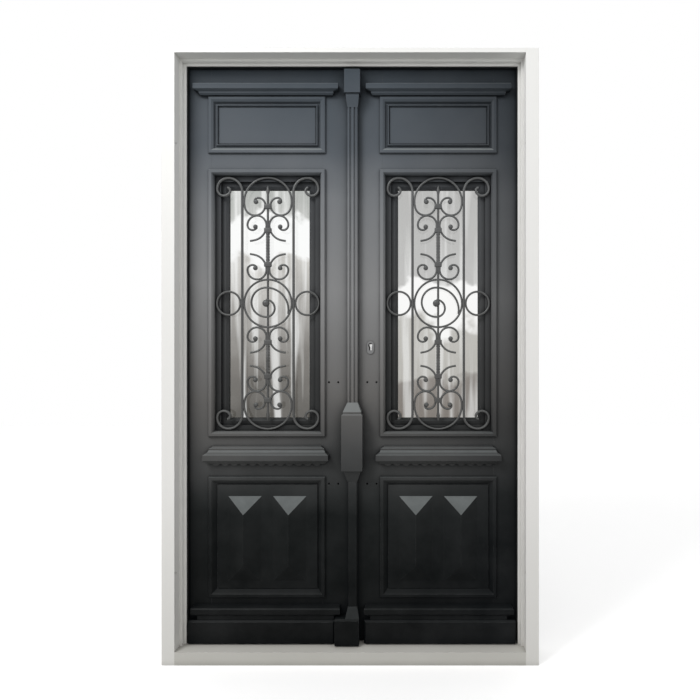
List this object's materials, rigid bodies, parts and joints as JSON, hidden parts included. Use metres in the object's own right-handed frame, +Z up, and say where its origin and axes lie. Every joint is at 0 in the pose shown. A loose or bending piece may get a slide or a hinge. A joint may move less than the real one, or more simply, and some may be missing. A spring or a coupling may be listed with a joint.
{
  "type": "security entry door",
  "caption": "Double-leaf panelled security entry door with iron window grilles, a central astragal, a white surround and a sill.",
  "frame": {"origin": "middle of the sill's flat underside, level with the front faces of the leaves", "axes": "+Z up, +X to the right seen from outside, +Y into the building"},
  "size_m": [1.452, 0.144, 2.3765],
  "materials": {
    "casing_paint": "white satin paint, slightly yellowed in the reveals",
    "sill_paint": "worn light grey paint",
    "stop_paint": "near-black satin paint",
    "door_paint": "charcoal satin paint with a slight antique rub on the edges",
    "iron_paint": "dark grey paint over wrought iron",
    "hinge_steel": "satin steel",
    "lock_steel": "bright satin steel",
    "glass": "clear float glass"
  },
  "bodies": {
    "frame": {"jamb_left": "casing_paint", "jamb_right": "casing_paint", "head_casing": "casing_paint", "sill": "sill_paint", "stop_left": "stop_paint", "stop_right": "stop_paint", "stop_head": "stop_paint", "frame_hinges_left": "hinge_steel", "frame_hinges_right": "hinge_steel"},
    "left_leaf": {"left_hinge_stile": "door_paint", "left_meeting_stile": "door_paint", "left_rails": "door_paint", "left_cornice": "door_paint", "left_top_panel": "door_paint", "left_top_moulding": "door_paint", "left_window_moulding": "door_paint", "left_sash": "door_paint", "left_ledge": "door_paint", "left_lower_panel": "door_paint", "left_lower_moulding": "door_paint", "left_plinth_moulding": "door_paint", "left_plinth": "door_paint", "left_glass": "glass", "left_grille": "iron_paint", "left_hinges": "hinge_steel", "astragal_foot": "door_paint", "astragal_shaft": "door_paint", "astragal_box": "door_paint", "astragal_capital": "door_paint"},
    "right_leaf": {"right_hinge_stile": "door_paint", "right_meeting_stile": "door_paint", "right_rails": "door_paint", "right_cornice": "door_paint", "right_top_panel": "door_paint", "right_top_moulding": "door_paint", "right_window_moulding": "door_paint", "right_sash": "door_paint", "right_ledge": "door_paint", "right_lower_panel": "door_paint", "right_lower_moulding": "door_paint", "right_plinth_moulding": "door_paint", "right_plinth": "door_paint", "right_glass": "glass", "right_grille": "iron_paint", "right_hinges": "hinge_steel", "lock_escutcheon": "lock_steel"}
  },
  "joints": [
    {"name": "right_hinge", "type": "hinge", "parent": "frame", "child": "right_leaf", "pos_m": [0.667, 0.056, 1.19], "axis": [0, 0, -1], "range_deg": [0, 100]},
    {"name": "left_hinge", "type": "hinge", "parent": "frame", "child": "left_leaf", "pos_m": [-0.667, 0.056, 1.19], "axis": [0, 0, 1], "range_deg": [0, 85]}
  ],
  "couplings": [
    {"joint": "left_hinge", "follows": "right_hinge", "ratio": 0.85}
  ]
}
